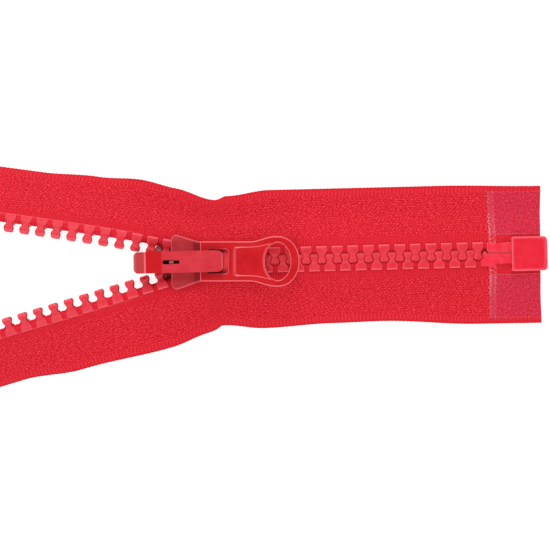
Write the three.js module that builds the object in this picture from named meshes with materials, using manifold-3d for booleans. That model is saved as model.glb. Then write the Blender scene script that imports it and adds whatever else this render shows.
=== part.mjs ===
// A separating zipper with moulded plastic teeth, partly open and lying flat.
// Millimetres, +Z up. The origin is at the centre of the retainer box's underside.
// The closed chain runs along -X from the box, through the slider, and then the two rows part.
// "Upper" is the row on the +Y side and "lower" the row on the -Y side.

import * as THREE from "three";
import { mergeVertices } from "three/addons/utils/BufferGeometryUtils.js";
import Module from "manifold-3d";

const wasm = await Module();
wasm.setup();

// ---- Driving dimensions ----

const PITCH = 3.63; // from tooth to tooth along one row
const TEETH = 39; // in each row
const CHAIN_Z = 2.5; // height of the closed chain's mid-plane
const GAP = 0.3; // clearance between neighbouring pieces

const TOOTH = {
  thickness: 2.4,
  flange: 2.9, // distance of the outer face from the row's axis
  shoulder: 1.25, // where the body narrows into the neck
  bodyHalf: 1.25,
  neckHalf: 0.6,
  headHalf: 0.88,
  tip: -0.92, // the head reaches past the row's axis
};
const CORD = { radius: 0.7, offset: 2.2 };
const TAPE = { thickness: 0.6, inner: TOOTH.flange + GAP, flatFrom: 0.6 };
const FILM = { thickness: 0.2, clear: 0.15, from: -9.35, inner: 4.5, outer: 15.0 };

// Distances along a row are measured from the origin, towards the open end.
const ROW_END = 153; // far end of the last tooth's stretch
const TAIL_END = 167; // cut end of the tapes at the top
const BOTTOM_END = -2.6; // cut end of the tapes at the bottom

const BEND = 8; // length over which a row turns inside the slider
const UPPER = {
  name: "upper",
  side: 1,
  firstTooth: 11.85,
  apex: 72.9, // where the row turns away from the chain's axis
  angle: 12.5, // degrees between the open row and the chain's axis
  straighten: 6.5, // degrees by which the open row turns back before its end
  liftTo: 108, // where the open row has reached its full height and roll
  // Distances of the tape's outer edge from the row's axis, at places along the row.
  widths: [
    [-3, 16],
    [20, 16.6],
    [60, 16.6],
    [70, 15.4],
    [77, 14.1],
    [85, 15.2],
    [93, 15.8],
    [103, 14.8],
    [116, 13.9],
    [170, 14],
  ],
};
const LOWER = {
  name: "lower",
  side: -1,
  firstTooth: 13.65,
  apex: 74.3,
  angle: 15.6,
  straighten: 0,
  liftTo: 128,
  widths: [
    [-3, 16.4],
    [12, 16.3],
    [34, 15.1],
    [46, 15.3],
    [62, 16.1],
    [71, 15.2],
    [80, 16.1],
    [88, 16.85],
    [110, 15.6],
    [124, 13.9],
    [170, 13.6],
  ],
};
const TRAVEL_PITCHES = 17; // the slider's way to the retainer box
const LIFT_FROM = 86; // where the open rows start to rise from the surface
const OPEN_Z = 7.6; // height of an open row's axis
const OPEN_ROLL = 28; // degrees by which an open row is rolled, teeth up
const EDGE_Z = 0.3; // height of the tape's outer edge
const FILM_EDGE_Z = 0.8; // the same between the films

const BOX = { length: 8.3, width: 8, height: 4.9, wall: 0.85, socketHalf: 3.15 };
const PIN = { thickness: 2.2, right: 2.6 };
const STOP = { length: 4.4, thickness: 3.2 };

const SLIDER_X = -75; // the slider's own origin
const BOTTOM_PLATE = [0, 1.1];
const TOP_PLATE = [3.9, 5.1];
const FLANGE_LIPS = [1.9, 3.1]; // the slot for the tapes lies between these heights
const CROWN = { half: 2.47, underside: 7.95, top: 9.3, slot: [-9.8, -5.9], slotHalf: 0.5 };
const PAWL_WINDOW = { along: [0.6, 2.3], half: 0.7 }; // through the top plate
const PULL = {
  low: 5.4,
  high: 6.75,
  half: 4.62, // of the stem's width
  headHalf: 5.83,
  farEnd: 21.65,
  bar: [-1.3, 0.2], // the cross bar under the crown
  slotEnd: 5.2,
  slotHalf: 2.8,
  window: { x: 16.6, rx: 2.95, ry: 4.35 },
  bevel: 0.3,
};
const SPRING = { along: [-5.2, 2.1], half: 0.8, heights: [7.5, 7.7] };
const PAWL = {
  front: -8.3,
  low: 7.05,
  high: 7.35,
  half: 0.3,
  tab: 1, // length of the raised front end, which shows in the crown's slot
  tabTop: 8.6,
  tip: [1.1, 1.8], // the tooth that reaches down through the top plate
  tipLow: 4,
};

const RED = {
  tape: 0xd22238,
  tooth: 0xe8405a,
  moulding: 0xe84760,
  film: 0xd8486a,
  slider: 0xc83a4c,
  crown: 0xcc4258,
  pull: 0xc81f2c,
};
const STEEL = 0xa09a98;

// ---- Helpers ----

const smooth = (t) => {
  const c = Math.min(1, Math.max(0, t));
  return c * c * (3 - 2 * c);
};

// Value at s of a smooth line through [position, value] pairs.
function along(pairs, s) {
  const i = pairs.findIndex(([at]) => at > s);
  if (i < 1) return pairs.at(i)[1];
  const [s0, v0] = pairs[i - 1];
  const [s1, v1] = pairs[i];
  return v0 + (v1 - v0) * smooth((s - s0) / (s1 - s0));
}

function toSolid(geometry) {
  const bare = geometry.clone();
  bare.deleteAttribute("normal");
  bare.deleteAttribute("uv");
  const merged = mergeVertices(bare, 1e-4);
  return new wasm.Manifold(
    new wasm.Mesh({
      numProp: 3,
      vertProperties: merged.attributes.position.array,
      triVerts: new Uint32Array(merged.index.array),
    }),
  );
}

function toGeometry(solid) {
  const { vertProperties, triVerts } = solid.getMesh();
  const geometry = new THREE.BufferGeometry();
  geometry.setAttribute("position", new THREE.BufferAttribute(vertProperties, 3));
  geometry.setIndex(new THREE.BufferAttribute(triVerts, 1));
  geometry.computeVertexNormals();
  return geometry;
}

const join = (...parts) => toGeometry(parts.map(toSolid).reduce((a, b) => a.add(b)));
const cut = (whole, ...tools) =>
  toGeometry(tools.map(toSolid).reduce((a, b) => a.subtract(b), toSolid(whole)));

// A closed skin over a run of rings with the same number of points, capped at both ends.
function loft(rings) {
  const count = rings[0].length;
  const points = rings.flat();
  const index = [];
  for (let r = 0; r < rings.length - 1; r++)
    for (let k = 0; k < count; k++) {
      const a = r * count + k;
      const b = r * count + ((k + 1) % count);
      index.push(a, b, b + count, a, b + count, a + count);
    }
  // Each ring is a strip folded in half, so a cap joins point k to its partner from the end.
  const cap = (base, flip) => {
    for (let k = 0; k < count / 2 - 1; k++) {
      const quad = [k, k + 1, count - 2 - k, count - 1 - k].map((v) => v + base);
      const [a, b, c, d] = flip ? quad.reverse() : quad;
      index.push(a, c, b, a, d, c);
    }
  };
  cap(0, false);
  cap((rings.length - 1) * count, true);
  const volume = index.reduce((sum, _, i) => {
    if (i % 3) return sum;
    const [a, b, c] = [0, 1, 2].map((j) => points[index[i + j]]);
    return sum + a.dot(b.clone().cross(c));
  }, 0);
  if (volume < 0) index.reverse();
  const geometry = new THREE.BufferGeometry().setFromPoints(points);
  geometry.setIndex(index);
  return geometry;
}

// A closed outline with each corner rounded off.
function rounded(points, radius) {
  const shape = new THREE.Shape();
  points.forEach((p, i) => {
    const corner = new THREE.Vector2(...p);
    const before = new THREE.Vector2(...points.at(i - 1)).sub(corner);
    const after = new THREE.Vector2(...points[(i + 1) % points.length]).sub(corner);
    const trim = Math.min(radius, before.length() * 0.45, after.length() * 0.45);
    const start = before.setLength(trim).add(corner);
    const end = after.setLength(trim).add(corner);
    if (i === 0) shape.moveTo(start.x, start.y);
    else shape.lineTo(start.x, start.y);
    shape.quadraticCurveTo(corner.x, corner.y, end.x, end.y);
  });
  shape.closePath();
  return shape;
}

// A symmetric outline from the points of its +Y half.
const mirrored = (half) => [...half, ...half.map(([x, y]) => [x, -y]).reverse()];

// An outline in the XY plane, made solid between two heights.
function slab(shape, [low, high], curveSegments = 3) {
  const geometry = new THREE.ExtrudeGeometry(shape, {
    depth: high - low,
    bevelEnabled: false,
    curveSegments,
  });
  return geometry.translate(0, 0, low);
}

// An outline in the XZ plane, made solid between y = -half and y = half.
function profile(shape, half, curveSegments = 3) {
  const geometry = new THREE.ExtrudeGeometry(shape, {
    depth: 2 * half,
    bevelEnabled: false,
    curveSegments,
  });
  return geometry.translate(0, 0, -half).rotateX(Math.PI / 2);
}

function block([x0, x1], [y0, y1], [z0, z1]) {
  const geometry = new THREE.BoxGeometry(x1 - x0, y1 - y0, z1 - z0);
  return geometry.translate((x0 + x1) / 2, (y0 + y1) / 2, (z0 + z1) / 2);
}

const zipper = new THREE.Group();
zipper.name = "zipper";

function addMesh(parent, name, geometry, color, roughness = 0.5, metalness = 0) {
  const material = new THREE.MeshStandardMaterial({ color, roughness, metalness });
  const mesh = new THREE.Mesh(geometry, material);
  mesh.name = name;
  parent.add(mesh);
  return mesh;
}

// ---- The two rows ----

// The line that one side's teeth follow: straight along the chain, then away at an angle.
class Row {
  static STEP = 0.25;
  static START = -5;

  constructor(spec) {
    Object.assign(this, spec);
    this.stations = [];
    const place = new THREE.Vector2(-Row.START, 0);
    for (let s = Row.START; s <= TAIL_END + 1; s += Row.STEP) {
      this.stations.push(place.clone());
      const heading = this.heading(s + Row.STEP / 2);
      place.x -= Math.cos(heading) * Row.STEP;
      place.y += Math.sin(heading) * Row.STEP * this.side;
    }
  }

  heading(s) {
    const turned = smooth((s - this.apex + BEND / 2) / BEND) * this.angle;
    const past = Math.max(0, (s - this.apex - BEND / 2) / (ROW_END - this.apex));
    return THREE.MathUtils.degToRad(turned - past * this.straighten);
  }

  lift(s) {
    return smooth((s - LIFT_FROM) / (this.liftTo - LIFT_FROM));
  }

  // Position and axes at s: "back" points along the row, "out" to the tape, "up" off the surface.
  frame(s) {
    const i = Math.min(this.stations.length - 2, Math.floor((s - Row.START) / Row.STEP));
    const t = (s - Row.START) / Row.STEP - i;
    const place = this.stations[i].clone().lerp(this.stations[i + 1], t);
    const lift = this.lift(s);
    const heading = this.heading(s);
    const roll = THREE.MathUtils.degToRad(OPEN_ROLL) * lift;
    const level = new THREE.Vector3(Math.sin(heading), this.side * Math.cos(heading), 0);
    const z = new THREE.Vector3(0, 0, 1);
    const back = new THREE.Vector3(-Math.cos(heading), this.side * Math.sin(heading), 0);
    return {
      origin: new THREE.Vector3(place.x, place.y, CHAIN_Z + (OPEN_Z - CHAIN_Z) * lift),
      back,
      level,
      out: level.clone().multiplyScalar(Math.cos(roll)).addScaledVector(z, -Math.sin(roll)),
      up: level.clone().multiplyScalar(Math.sin(roll)).addScaledVector(z, Math.cos(roll)),
      lift,
      roll,
    };
  }

  // A point beside the row: "offset" towards the tape, "height" off the row's plane.
  point(s, offset, height) {
    const { origin, out, up } = this.frame(s);
    return origin.clone().addScaledVector(out, offset).addScaledVector(up, height);
  }

  // A point on the tape's mid-surface, "share" of the way from its inner to its outer edge.
  tapePoint(s, share, height) {
    const { origin, level, lift, roll } = this.frame(s);
    const inner = TAPE.inner * Math.cos(roll);
    const offset = inner + (along(this.widths, s) - inner) * share;
    const innerZ = origin.z - TAPE.inner * Math.sin(roll);
    const edgeZ = FILM_EDGE_Z + (EDGE_Z - FILM_EDGE_Z) * smooth((s - 10) / 8);
    const flat = innerZ + (edgeZ - innerZ) * smooth(share / TAPE.flatFrom);
    const rolled = innerZ + (edgeZ - innerZ) * share;
    const z = flat + (rolled - flat) * lift + height;
    return new THREE.Vector3(origin.x, origin.y, z).addScaledVector(level, offset);
  }

  // The matrix that lays an outline (x along the row, y towards the tape) into the row.
  matrix(s) {
    const { origin, back, out, up } = this.frame(s);
    const x = back.multiplyScalar(-this.side);
    return new THREE.Matrix4().makeBasis(x, out, up).setPosition(origin);
  }

  toothPlace(k) {
    return this.firstTooth + k * PITCH;
  }
}

const rows = [new Row(UPPER), new Row(LOWER)];

const toothHalf = [
  [TOOTH.bodyHalf, TOOTH.flange],
  [TOOTH.bodyHalf, TOOTH.shoulder + 0.15],
  [TOOTH.bodyHalf - 0.25, TOOTH.shoulder],
  [TOOTH.neckHalf, 0.9],
  [TOOTH.neckHalf, 0.15],
  [TOOTH.headHalf, -0.25],
  [TOOTH.headHalf, -0.6],
  [0.55, TOOTH.tip],
];
const toothOutline = new THREE.Shape(
  [...toothHalf, ...toothHalf.map(([x, y]) => [-x, y]).reverse()].map(
    (p) => new THREE.Vector2(...p),
  ),
);

function tooth(row, k) {
  const depth = TOOTH.thickness;
  const geometry = new THREE.ExtrudeGeometry(toothOutline, { depth, bevelEnabled: false });
  geometry.translate(0, 0, -depth / 2);
  return geometry.applyMatrix4(row.matrix(row.toothPlace(k)));
}

// Places along a row from "from" to "to", closer together where the row bends or rises.
function places(row, from, to, stride) {
  const out = [from];
  while (out.at(-1) < to) {
    const s = out.at(-1);
    const near = s > row.apex - BEND / 2 - 2 && s < row.apex + BEND / 2;
    out.push(Math.min(to, s + (near ? 1.6 : stride)));
  }
  return out;
}

function cord(row, from, to) {
  const SIDES = 6;
  const ring = (s) =>
    Array.from({ length: SIDES }, (_, k) => {
      const turn = ((k + 0.5) / SIDES) * 2 * Math.PI;
      const offset = CORD.offset + Math.cos(turn) * CORD.radius;
      return row.point(s, offset, Math.sin(turn) * CORD.radius);
    });
  return loft(places(row, from, to, 8).map(ring));
}

// A stretch of the row: its cord, with the teeth whose places lie on it.
function teethOn(row, from, to) {
  const parts = [cord(row, from, to)];
  for (let k = 0; k < TEETH; k++) {
    const s = row.toothPlace(k);
    if (s > from && s < to) parts.push(tooth(row, k));
  }
  return join(...parts);
}

const TAPE_SHARES = [0, 0.15, 0.35, TAPE.flatFrom, 1];
function tapeStretch(row, from, to) {
  const half = TAPE.thickness / 2;
  const ring = (s) => [
    ...TAPE_SHARES.map((share) => row.tapePoint(s, share, half)),
    ...TAPE_SHARES.map((share) => row.tapePoint(s, share, -half)).reverse(),
  ];
  return loft(places(row, from, to, 4).map(ring));
}

function film(row, face) {
  const near = face * (TAPE.thickness / 2 + FILM.clear);
  const far = near + face * FILM.thickness;
  const STEPS = 6;
  const shareAt = (offset) => (offset - TAPE.inner) / (along(row.widths, 0) - TAPE.inner);
  const shares = [shareAt(FILM.inner), 0.15, 0.35, TAPE.flatFrom, shareAt(FILM.outer)];
  const ring = (s) => [
    ...shares.map((share) => row.tapePoint(s, share, near)),
    ...shares.map((share) => row.tapePoint(s, share, far)).reverse(),
  ];
  const length = -FILM.from - BOTTOM_END;
  const at = (i) => BOTTOM_END + (length * i) / STEPS;
  return loft(Array.from({ length: STEPS + 1 }, (_, i) => ring(at(i))));
}

function topStop(row) {
  const { length, thickness } = STOP;
  const outline = rounded(
    [
      [-length / 2, 0.4],
      [length / 2, 0.4],
      [length / 2, TOOTH.flange],
      [-length / 2, TOOTH.flange],
    ],
    0.8,
  );
  const geometry = slab(outline, [-thickness / 2, thickness / 2]);
  return geometry.applyMatrix4(row.matrix(ROW_END + length / 2 + GAP));
}

for (const row of rows) {
  const nearCut = row.firstTooth + (row.side > 0 ? PITCH / 2 : -PITCH / 2);
  const farCut = nearCut + TRAVEL_PITCHES * PITCH;
  const stretches = {
    end: [BOTTOM_END, nearCut - GAP / 2],
    mid: [nearCut + GAP / 2, farCut - GAP / 2],
    leg: [farCut + GAP / 2, TAIL_END],
  };
  for (const [stretch, [from, to]] of Object.entries(stretches)) {
    addMesh(zipper, `${row.name}_tape_${stretch}`, tapeStretch(row, from, to), RED.tape, 0.85);
  }
  const [midFrom, midTo] = stretches.mid;
  addMesh(zipper, `${row.name}_teeth_mid`, teethOn(row, midFrom, midTo), RED.tooth, 0.4);
  const legTeeth = teethOn(row, stretches.leg[0], ROW_END);
  addMesh(zipper, `${row.name}_teeth_leg`, legTeeth, RED.tooth, 0.4);
  addMesh(zipper, `${row.name}_top_stop`, topStop(row), RED.moulding, 0.4);
  addMesh(zipper, `${row.name}_film_front`, film(row, 1), RED.film, 0.35);
  addMesh(zipper, `${row.name}_film_back`, film(row, -1), RED.film, 0.35);
}

// ---- Bottom end: retainer box, pins and the last tooth ----

const pinHeights = [CHAIN_Z - PIN.thickness / 2, CHAIN_Z + PIN.thickness / 2];
const insertionPin = rounded(
  [
    [-9.75, 1.1],
    [-9.2, 0.7],
    [PIN.right, 0.7],
    [PIN.right, 2.75],
    [-6, 2.9],
    [-9.75, 2.6],
  ],
  0.3,
);
addMesh(zipper, "insertion_pin", slab(insertionPin, pinHeights), RED.moulding, 0.35);

const boxPin = rounded(
  [
    [-11.25, -2.75],
    [-11.25, -1.3],
    [-10.6, -1.1],
    [-10.6, 0.4],
    [PIN.right, 0.4],
    [PIN.right, -2.2],
    [-7.9, -2.2],
    [-8.1, -2.75],
  ],
  0.25,
);
addMesh(zipper, "box_pin", slab(boxPin, pinHeights), RED.moulding, 0.35);

const lastTooth = join(
  tooth(rows[0], 0),
  cord(rows[0], rows[0].firstTooth - 1.6, rows[0].firstTooth + PITCH / 2 - GAP / 2),
);
addMesh(zipper, "upper_teeth_end", lastTooth, RED.tooth, 0.4);

const boxLeft = -BOX.length / 2;
const boxOutline = rounded(
  [
    [boxLeft, -BOX.width / 2],
    [-boxLeft, -BOX.width / 2],
    [-boxLeft, BOX.width / 2],
    [boxLeft, BOX.width / 2],
  ],
  1,
);
const socketRight = PIN.right + GAP;
const retainerBox = cut(
  slab(boxOutline, [0, BOX.height]),
  block(
    [boxLeft - 1, socketRight],
    [-BOX.socketHalf, BOX.socketHalf],
    [BOX.wall, BOX.height - BOX.wall],
  ),
  block([boxLeft - 1, socketRight], [-BOX.width, BOX.width], FLANGE_LIPS),
);
addMesh(zipper, "retainer_box", retainerBox, RED.moulding, 0.35);

// ---- Slider ----

const slider = new THREE.Group();
slider.position.x = SLIDER_X;
zipper.add(slider);

const topOutline = rounded(
  mirrored([
    [-8.1, 5.7],
    [-7, 6.5],
    [-1.4, 4.6],
    [3, 4.1],
    [7.8, 3.95],
  ]),
  1.1,
);
const bottomOutline = rounded(
  mirrored([
    [-12.2, 3.6],
    [-8, 6.45],
    [-1.4, 4.6],
    [3, 4.1],
    [7.8, 3.95],
  ]),
  1.1,
);
const channel = new THREE.Shape(
  mirrored([
    [-13, 7],
    [-8.9, 5.95],
    [-1.5, 4],
    [1, 3.35],
    [9, 3.25],
  ]).map((p) => new THREE.Vector2(...p)),
);
const dividerOutline = rounded(
  mirrored([
    [-12, 0.9],
    [-11.2, 1.3],
    [-5.8, 0.25],
  ]),
  0.4,
);
const tongue = rounded(
  mirrored([
    [-12.6, 2],
    [-8, 2],
  ]),
  0.6,
);
// The lips are two bars, so each pair is joined to the plate that it stands on.
const lips = (heights) => cut(slab(topOutline, heights), slab(channel, [-1, 9]));
const sliderBody = cut(
  join(
    slab(bottomOutline, BOTTOM_PLATE),
    slab(topOutline, TOP_PLATE),
    slab(tongue, TOP_PLATE),
    lips([BOTTOM_PLATE[1] - 0.1, FLANGE_LIPS[0]]),
    lips([FLANGE_LIPS[1], TOP_PLATE[0] + 0.1]),
    slab(dividerOutline, [BOTTOM_PLATE[1] - 0.1, TOP_PLATE[0] + 0.1]),
  ),
  block(
    PAWL_WINDOW.along,
    [-PAWL_WINDOW.half, PAWL_WINDOW.half],
    [TOP_PLATE[0] - 1, TOP_PLATE[1] + 1],
  ),
);
addMesh(slider, "slider_body", sliderBody, RED.slider, 0.35, 0.3);

// The crown is a bridge: its front end curls down over the nose, its rear leg stands on the plate.
const crownFoot = TOP_PLATE[1] + GAP;
const crownSide = rounded(
  [
    [-16.85, 5],
    [-16.3, 6.3],
    [-13.7, CROWN.top],
    [4, CROWN.top],
    [4, crownFoot],
    [2.6, crownFoot],
    [2.6, CROWN.underside],
    [-9.7, CROWN.underside],
    [-11, crownFoot],
    [-15, crownFoot],
  ].reverse(),
  0.9,
);
const crown = cut(
  profile(crownSide, CROWN.half),
  block(CROWN.slot, [-CROWN.slotHalf, CROWN.slotHalf], [CROWN.underside - 1, CROWN.top + 1]),
);
addMesh(slider, "slider_crown", crown, RED.crown, 0.3, 0.2);

const spring = block(SPRING.along, [-SPRING.half, SPRING.half], SPRING.heights);
addMesh(slider, "lock_spring", spring, STEEL, 0.35, 0.9);

const pawlSide = new THREE.Shape(
  [
    [PAWL.front, PAWL.low],
    [PAWL.tip[0], PAWL.low],
    [PAWL.tip[0], PAWL.tipLow],
    [PAWL.tip[1], PAWL.tipLow],
    [PAWL.tip[1], PAWL.high],
    [PAWL.front + PAWL.tab, PAWL.high],
    [PAWL.front + PAWL.tab, PAWL.tabTop],
    [PAWL.front, PAWL.tabTop],
  ].map((p) => new THREE.Vector2(...p)),
);
addMesh(slider, "lock_pawl", profile(pawlSide, PAWL.half), STEEL, 0.35, 0.9);

// ---- Pull tab ----

// The outline is drawn inside the finished edge, and its holes outside theirs, by the bevel's size.
const { bevel } = PULL;
const stem = PULL.half - bevel;
const head = PULL.headHalf - bevel;
const barEnd = PULL.bar[0] + bevel;
const farEnd = PULL.farEnd - bevel;
const pullOutline = new THREE.Shape();
pullOutline.moveTo(barEnd, -stem);
pullOutline.lineTo(10, -stem);
pullOutline.bezierCurveTo(12.5, -stem, 13.5, -head, 16.6, -head);
pullOutline.bezierCurveTo(19.4, -head, farEnd, -3.4, farEnd, 0);
pullOutline.bezierCurveTo(farEnd, 3.4, 19.4, head, 16.6, head);
pullOutline.bezierCurveTo(13.5, head, 12.5, stem, 10, stem);
pullOutline.lineTo(barEnd, stem);
pullOutline.closePath();

const slotHalf = PULL.slotHalf + bevel;
const slotEnds = [PULL.bar[1] - bevel, PULL.slotEnd + bevel];
const slot = new THREE.Path([
  new THREE.Vector2(slotEnds[0], -slotHalf),
  new THREE.Vector2(slotEnds[0], slotHalf),
  new THREE.Vector2(slotEnds[1], slotHalf),
  new THREE.Vector2(slotEnds[1], -slotHalf),
]);
const { x: windowX, rx, ry } = PULL.window;
const windowHole = new THREE.Path();
windowHole.absellipse(windowX, 0, rx + bevel, ry + bevel, 0, 2 * Math.PI, true);
pullOutline.holes.push(slot, windowHole);
const pull = new THREE.ExtrudeGeometry(pullOutline, {
  depth: PULL.high - PULL.low - 2 * bevel,
  bevelThickness: bevel,
  bevelSize: bevel,
  bevelSegments: 1,
  curveSegments: 5,
});
pull.translate(0, 0, PULL.low + bevel);
addMesh(slider, "pull_tab", pull, RED.pull, 0.35);

export default zipper;
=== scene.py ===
import math
from dataclasses import dataclass

import bmesh
import bpy
import numpy as np
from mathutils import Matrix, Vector


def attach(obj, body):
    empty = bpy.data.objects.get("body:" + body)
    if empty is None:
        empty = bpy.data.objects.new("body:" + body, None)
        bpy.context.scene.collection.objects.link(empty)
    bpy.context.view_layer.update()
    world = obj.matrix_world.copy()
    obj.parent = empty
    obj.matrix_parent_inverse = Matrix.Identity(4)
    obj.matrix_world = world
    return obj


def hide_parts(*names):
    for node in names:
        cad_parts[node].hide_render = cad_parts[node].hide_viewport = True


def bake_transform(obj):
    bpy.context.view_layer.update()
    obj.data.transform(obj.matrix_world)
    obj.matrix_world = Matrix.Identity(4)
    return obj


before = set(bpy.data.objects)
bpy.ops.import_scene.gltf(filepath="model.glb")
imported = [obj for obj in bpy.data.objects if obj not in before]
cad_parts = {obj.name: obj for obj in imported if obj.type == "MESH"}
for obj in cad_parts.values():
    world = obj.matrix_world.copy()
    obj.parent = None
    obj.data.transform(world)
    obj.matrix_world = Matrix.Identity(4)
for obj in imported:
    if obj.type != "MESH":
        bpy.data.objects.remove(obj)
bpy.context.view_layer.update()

# Lengths in this script are millimetres in the CAD's frame, and MM turns them into metres.
MM = 0.001


def add_object(name, data):
    made = bpy.data.objects.new(name, data)
    bpy.context.scene.collection.objects.link(made)
    return made


# ---- Camera ----

CAMERA_HEIGHT = 400
VIEW_PLANE = 3  # height at which the picture's width is VIEW_WIDTH
VIEW_WIDTH = 127.9
VIEW_CENTRE = (-59.1, -3.53)
VIEW_TURN = -1.4  # degrees
SENSOR = 36
CLIP_START = 10


def make_camera():
    """The camera straight above the slider, looking down."""
    data = bpy.data.cameras.new("camera")
    data.sensor_width = SENSOR
    data.lens = SENSOR * (CAMERA_HEIGHT - VIEW_PLANE) / VIEW_WIDTH
    data.clip_start = CLIP_START * MM
    camera = add_object("camera", data)
    camera.location = Vector((*VIEW_CENTRE, CAMERA_HEIGHT)) * MM
    camera.rotation_euler = (0, 0, math.radians(VIEW_TURN))
    bpy.context.scene.camera = camera


make_camera()
bpy.context.scene.view_settings.view_transform = "Standard"


# ---- Node helpers ----

class Look:
    """A principled material, with short calls for the nodes that feed it."""

    def __init__(self, name):
        self.material = bpy.data.materials.new(name)
        self.material.use_nodes = True
        self.tree = self.material.node_tree
        self.bsdf = self.tree.nodes["Principled BSDF"]

    def node(self, kind, inputs=(), **settings):
        """A new node. inputs says what feeds which of its sockets."""
        made = self.tree.nodes.new(kind)
        for key, value in settings.items():
            setattr(made, key, value)
        for key, value in dict(inputs).items():
            self.link(value, made.inputs[key])
        return made

    def link(self, value, socket):
        """Feeds a socket with another node's output or with a fixed value."""
        if isinstance(value, bpy.types.NodeSocket):
            self.tree.links.new(value, socket)
        else:
            socket.default_value = value

    def math(self, operation, a, b=0.0, c=0.0):
        return self.node("ShaderNodeMath", {0: a, 1: b, 2: c}, operation=operation).outputs[0]

    def times(self, a, b):
        return self.math("MULTIPLY", a, b)

    def scaled(self, value, factor, plus):
        return self.math("MULTIPLY_ADD", value, factor, plus)

    def opposite(self, value):
        """1 where value is 0, and 0 where it is 1."""
        return self.math("SUBTRACT", 1.0, value)

    def wave(self, value, length):
        """A sine wave between 0 and 1."""
        turned = self.math("SINE", self.times(value, 2 * math.pi / length))
        return self.scaled(turned, 0.5, 0.5)

    def ramp(self, value, low, high):
        """0 below low, 1 above high, smooth between."""
        inputs = {"Value": value, "From Min": low, "From Max": high}
        made = self.node("ShaderNodeMapRange", inputs, interpolation_type="SMOOTHSTEP")
        return made.outputs["Result"]

    def band(self, value, middle, half, soft):
        """1 within half of the middle, 0 beyond, with soft edges."""
        away = self.math("ABSOLUTE", self.math("SUBTRACT", value, middle))
        return self.opposite(self.ramp(away, half, half + soft))

    def blend(self, share, a, b):
        """A number between a and b."""
        return self.node("ShaderNodeMix", {0: share, 2: a, 3: b}, data_type="FLOAT").outputs[0]

    def mix(self, share, a, b):
        """A colour between a and b."""
        return self.node("ShaderNodeMix", {0: share, 6: a, 7: b}, data_type="RGBA").outputs[2]

    def noise(self, coordinates, scale, detail=3.0, roughness=0.6):
        inputs = {"Vector": coordinates, "Scale": scale, "Detail": detail, "Roughness": roughness}
        return self.node("ShaderNodeTexNoise", inputs).outputs["Fac"]

    def place(self):
        """The point's place in the object's own space, in metres."""
        return self.node("ShaderNodeTexCoord").outputs["Object"]

    def flat_place(self):
        """Along and across a flat sheet in millimetres, and both as one vector."""
        uv = self.node("ShaderNodeUVMap", uv_map="flat").outputs[0]
        inputs = {0: uv, "Scale": 1 / FLAT_MAP}
        flat = self.node("ShaderNodeVectorMath", inputs, operation="SCALE").outputs[0]
        along, across, _ = self.split(flat)
        return self.math("SUBTRACT", along, FLAT_SHIFT), across, flat

    def pair(self, x, y):
        """Two numbers as one vector."""
        return self.node("ShaderNodeCombineXYZ", {0: x, 1: y}).outputs[0]

    def split(self, vector):
        """A vector's three numbers."""
        return self.node("ShaderNodeSeparateXYZ", {0: vector}).outputs

    def slopes(self):
        """1 on the sloping faces of rounded edges, 0 on level faces and on upright walls."""
        turned = self.node(
            "ShaderNodeVectorTransform", vector_type="NORMAL", convert_from="WORLD", convert_to="OBJECT"
        )
        self.link(self.node("ShaderNodeNewGeometry").outputs["True Normal"], turned.inputs[0])
        level = self.math("ABSOLUTE", self.split(turned.outputs[0])[2])
        return self.times(self.opposite(self.ramp(level, 0.93, 0.985)), self.ramp(level, 0.3, 0.5))

    def bump(self, height, depth, strength=1.0):
        """Bumps of that depth in millimetres where height goes from 0 to 1."""
        inputs = {"Height": height, "Distance": depth * MM, "Strength": strength}
        self.set(Normal=self.node("ShaderNodeBump", inputs).outputs["Normal"])

    def set(self, **inputs):
        """Feeds the surface's inputs, with _ for each space in their names."""
        for key, value in inputs.items():
            self.link(value, self.bsdf.inputs[key.replace("_", " ")])


def srgb(r, g, b):
    """A colour given in 0 to 255, as linear light."""
    def linear(c):
        c /= 255
        return c / 12.92 if c <= 0.04045 else ((c + 0.055) / 1.055) ** 2.4

    return (linear(r), linear(g), linear(b), 1.0)


# ---- Materials ----

FLAT_MAP = 0.01  # of a sheet's UV map, for each millimetre
FLAT_SHIFT = 10  # millimetres that keep the map's places above 0
WALE = 0.86  # from stitch to stitch along the tape
COURSE = 0.56  # from row to row of stitches across it
CHEVRON = 1.68  # width of one band of the herringbone
LOOP = 0.85  # from loop to loop of the outer edge
SELVAGE = 1.8  # width of the outer edge: a smooth cord, with a line of loops inside it
YARN_LENGTH = 0.5
YARN_WIDTH = 0.26
RIBBED_TO = 5.2  # the ribbed band beside the teeth ends here
BEAD_EDGE = 3.15  # the cord in the tape's inner edge ends here
FLAT_WIDTH = 16.6  # of the tape, from the row's axis
OPENED = (86, 100)  # the tapes' cords come into sight between these places
FILM_FROM = 9.3  # the films reach from the tapes' ends to here
FILM_INNER = 4.5
FILM_OUTER = 15.2

YARN_DARK = srgb(196, 6, 20)
YARN_LIGHT = srgb(238, 62, 80)
YARN_CLOUD = srgb(210, 26, 44)
# Painted light and painted shade on the cord between the teeth, and a painted highlight along it
CORD_PAINTED_LIGHT = srgb(226, 34, 54)
CORD_PAINTED_SHADE = srgb(184, 16, 36)
CORD_PAINTED_HIGHLIGHT = srgb(250, 110, 120)
WELD_ON_TAPE = srgb(250, 130, 142)
FILM_DARK = srgb(210, 18, 58)
FILM_LIGHT = srgb(252, 72, 104)
FILM_WHITE = srgb(252, 160, 168)
PALE_BORDER = srgb(237, 58, 78)
TOOTH_SHADE = srgb(168, 8, 30)


def dots(look, flat):
    """Small patches that break a welded line up."""
    return look.ramp(look.noise(flat, 2.6, 2.0), 0.35, 0.65)


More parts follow.
